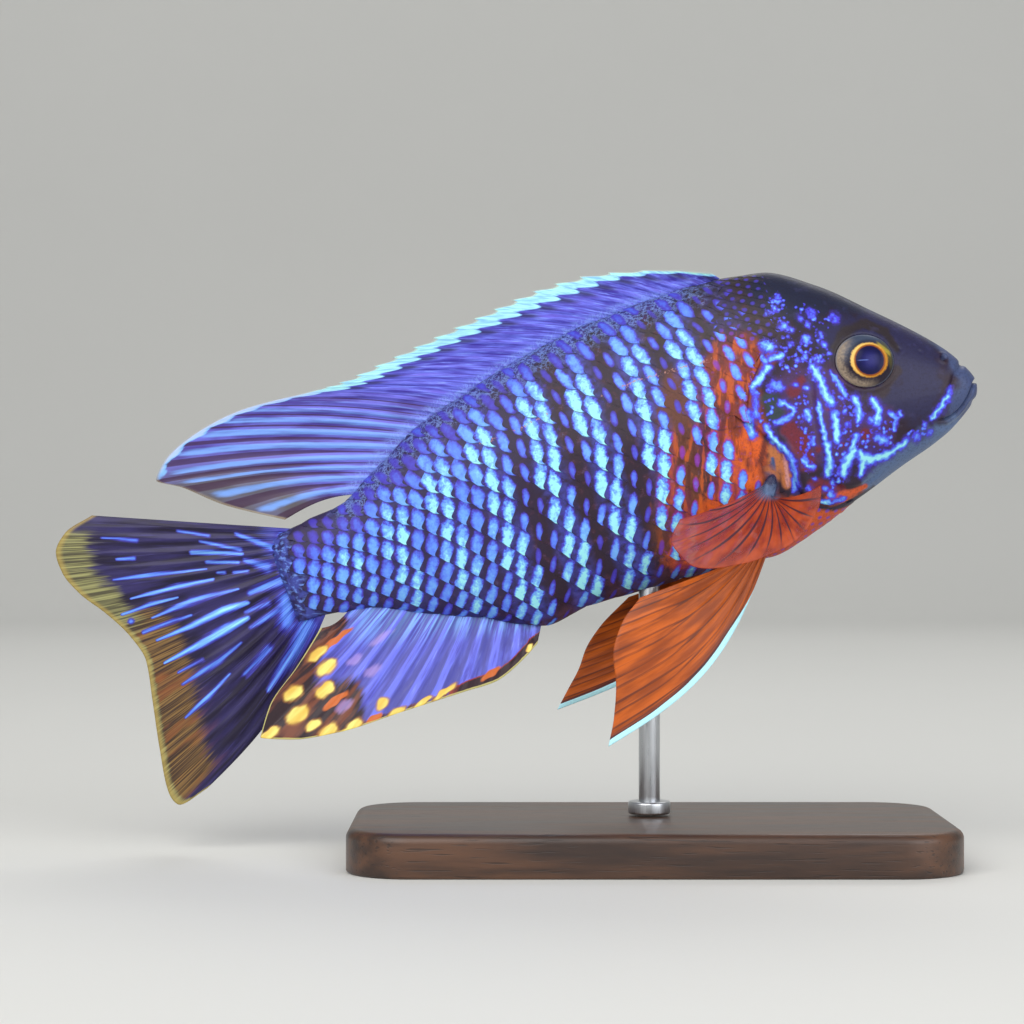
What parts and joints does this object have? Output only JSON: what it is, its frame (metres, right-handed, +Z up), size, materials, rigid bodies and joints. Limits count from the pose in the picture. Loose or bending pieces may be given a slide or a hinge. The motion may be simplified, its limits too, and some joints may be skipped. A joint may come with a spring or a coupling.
{
  "type": "peacock cichlid display model",
  "caption": "Still life-size model of a male peacock cichlid, nose-up with spread fins, held by a rod on a flat base.",
  "frame": {"origin": "middle of the stand base's underside, where it rests", "axes": "+X towards the snout, +Y to the fish's left, +Z up"},
  "size_m": [0.1319, 0.044, 0.0829],
  "materials": {
    "skin": "wet scaled skin, cyan-blue cores on dark maroon, barred",
    "eye": "clear glossy cornea over a gold-ringed iris",
    "blue_fin": "thin satin membrane, violet-blue with light streaks",
    "orange_fin": "thin satin membrane, orange with dark rays",
    "stand_wood": "dark stained satin wood",
    "stand_steel": "brushed"
  },
  "bodies": {
    "root": {"head": "skin", "lower_jaw": "skin", "gill_cover_left": "skin", "gill_cover_right": "skin", "trunk": "skin", "tail_stalk": "skin", "eye_left": "eye", "eye_right": "eye", "dorsal_fin": "blue_fin", "anal_fin": "blue_fin", "tail_fin": "blue_fin", "pelvic_fin_left": "orange_fin", "pelvic_fin_right": "orange_fin", "pectoral_fin_left": "orange_fin", "pectoral_fin_right": "orange_fin", "stand_base": "stand_wood", "stand_rod": "stand_steel"}
  },
  "joints": []
}
